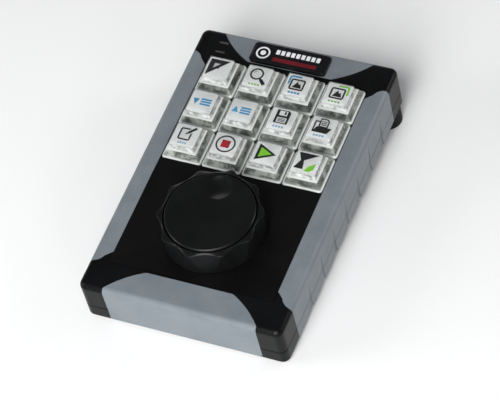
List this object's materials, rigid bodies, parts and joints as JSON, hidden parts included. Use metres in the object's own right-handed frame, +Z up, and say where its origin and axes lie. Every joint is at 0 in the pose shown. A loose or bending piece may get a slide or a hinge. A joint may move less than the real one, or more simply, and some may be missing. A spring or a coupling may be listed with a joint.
{
  "type": "hand controller",
  "caption": "Desktop hand controller with clear label keys, a dimpled jog wheel inside a sprung shuttle ring, and a black two-shell case with grey grip rails.",
  "frame": {"origin": "centre of the bounding box, on the surface that the feet stand on", "axes": "+Z up, +Y towards the rear edge behind the keys, +X to the right of a user who faces the keys"},
  "size_m": [0.0944, 0.1468, 0.0401],
  "materials": {
    "black_case": "fine textured black ABS",
    "grey_rail": "satin blue-grey ABS, lightly brushed",
    "face_black": "flat black powder coat",
    "badge_gloss": null,
    "smoked_window": "smoked light pipe",
    "clear_key": "clear polycarbonate key",
    "key_card": null,
    "knob_black": "satin soft black",
    "switch_dark": "moulded switch body",
    "spring_steel": "drawn wire",
    "plate_steel": "plain sheet steel",
    "board_green": "solder mask over glass laminate",
    "bright_metal": "nickel plate",
    "screw_zinc": "zinc plated",
    "foot_rubber": "moulded black rubber"
  },
  "bodies": {
    "case": {"top_shell": "black_case", "bottom_shell": "black_case", "rail_left": "grey_rail", "rail_right": "grey_rail", "front_panel": "grey_rail", "rear_panel": "grey_rail", "faceplate": "face_black", "badge": "badge_gloss", "status_windows": "smoked_window", "switch_plate": "plate_steel", "switch_housings": "switch_dark", "switch_springs": "spring_steel", "circuit_board": "board_green", "usb_socket": "bright_metal", "case_screws": "screw_zinc", "inner_screws": "screw_zinc", "front_feet": "foot_rubber", "rear_feet": "foot_rubber", "encoder_body": "switch_dark", "bush_nut": "bright_metal"},
    "jog": {"jog_wheel": "knob_black", "jog_shaft": "bright_metal"},
    "shuttle": {"shuttle_ring": "knob_black", "shuttle_sleeve": "bright_metal"},
    "key_11": {"key_cap_11": "clear_key", "key_card_11": "key_card", "key_base_11": "clear_key"},
    "key_12": {"key_cap_12": "clear_key", "key_card_12": "key_card", "key_base_12": "clear_key"},
    "key_13": {"key_cap_13": "clear_key", "key_card_13": "key_card", "key_base_13": "clear_key"},
    "key_14": {"key_cap_14": "clear_key", "key_card_14": "key_card", "key_base_14": "clear_key"},
    "key_21": {"key_cap_21": "clear_key", "key_card_21": "key_card", "key_base_21": "clear_key"},
    "key_22": {"key_cap_22": "clear_key", "key_card_22": "key_card", "key_base_22": "clear_key"},
    "key_23": {"key_cap_23": "clear_key", "key_card_23": "key_card", "key_base_23": "clear_key"},
    "key_24": {"key_cap_24": "clear_key", "key_card_24": "key_card", "key_base_24": "clear_key"},
    "key_31": {"key_cap_31": "clear_key", "key_card_31": "key_card", "key_base_31": "clear_key"},
    "key_32": {"key_cap_32": "clear_key", "key_card_32": "key_card", "key_base_32": "clear_key"},
    "key_33": {"key_cap_33": "clear_key", "key_card_33": "key_card", "key_base_33": "clear_key"},
    "key_34": {"key_cap_34": "clear_key", "key_card_34": "key_card", "key_base_34": "clear_key"}
  },
  "joints": [
    {"name": "jog_spin", "type": "hinge", "parent": "case", "child": "jog", "pos_m": [0, -0.03063, 0.02603], "axis": [0, -0.0595, 0.9982], "continuous": true},
    {"name": "shuttle_turn", "type": "hinge", "parent": "case", "child": "shuttle", "pos_m": [0, -0.03063, 0.02603], "axis": [0, -0.0595, 0.9982], "range_deg": [-70, 70], "stiffness_Nm_per_rad": 0.02},
    {"name": "key_press_11", "type": "slide", "parent": "case", "child": "key_11", "axis": [0, 0.0595, -0.9982], "range_m": [0, 0.004], "stiffness_N_per_m": 100, "springref_m": -0.003, "deforming": ["switch_springs"]},
    {"name": "key_press_12", "type": "slide", "parent": "case", "child": "key_12", "axis": [0, 0.0595, -0.9982], "range_m": [0, 0.004], "stiffness_N_per_m": 100, "springref_m": -0.003, "deforming": ["switch_springs"]},
    {"name": "key_press_13", "type": "slide", "parent": "case", "child": "key_13", "axis": [0, 0.0595, -0.9982], "range_m": [0, 0.004], "stiffness_N_per_m": 100, "springref_m": -0.003, "deforming": ["switch_springs"]},
    {"name": "key_press_14", "type": "slide", "parent": "case", "child": "key_14", "axis": [0, 0.0595, -0.9982], "range_m": [0, 0.004], "stiffness_N_per_m": 100, "springref_m": -0.003, "deforming": ["switch_springs"]},
    {"name": "key_press_21", "type": "slide", "parent": "case", "child": "key_21", "axis": [0, 0.0595, -0.9982], "range_m": [0, 0.004], "stiffness_N_per_m": 100, "springref_m": -0.003, "deforming": ["switch_springs"]},
    {"name": "key_press_22", "type": "slide", "parent": "case", "child": "key_22", "axis": [0, 0.0595, -0.9982], "range_m": [0, 0.004], "stiffness_N_per_m": 100, "springref_m": -0.003, "deforming": ["switch_springs"]},
    {"name": "key_press_23", "type": "slide", "parent": "case", "child": "key_23", "axis": [0, 0.0595, -0.9982], "range_m": [0, 0.004], "stiffness_N_per_m": 100, "springref_m": -0.003, "deforming": ["switch_springs"]},
    {"name": "key_press_24", "type": "slide", "parent": "case", "child": "key_24", "axis": [0, 0.0595, -0.9982], "range_m": [0, 0.004], "stiffness_N_per_m": 100, "springref_m": -0.003, "deforming": ["switch_springs"]},
    {"name": "key_press_31", "type": "slide", "parent": "case", "child": "key_31", "axis": [0, 0.0595, -0.9982], "range_m": [0, 0.004], "stiffness_N_per_m": 100, "springref_m": -0.003, "deforming": ["switch_springs"]},
    {"name": "key_press_32", "type": "slide", "parent": "case", "child": "key_32", "axis": [0, 0.0595, -0.9982], "range_m": [0, 0.004], "stiffness_N_per_m": 100, "springref_m": -0.003, "deforming": ["switch_springs"]},
    {"name": "key_press_33", "type": "slide", "parent": "case", "child": "key_33", "axis": [0, 0.0595, -0.9982], "range_m": [0, 0.004], "stiffness_N_per_m": 100, "springref_m": -0.003, "deforming": ["switch_springs"]},
    {"name": "key_press_34", "type": "slide", "parent": "case", "child": "key_34", "axis": [0, 0.0595, -0.9982], "range_m": [0, 0.004], "stiffness_N_per_m": 100, "springref_m": -0.003, "deforming": ["switch_springs"]}
  ]
}
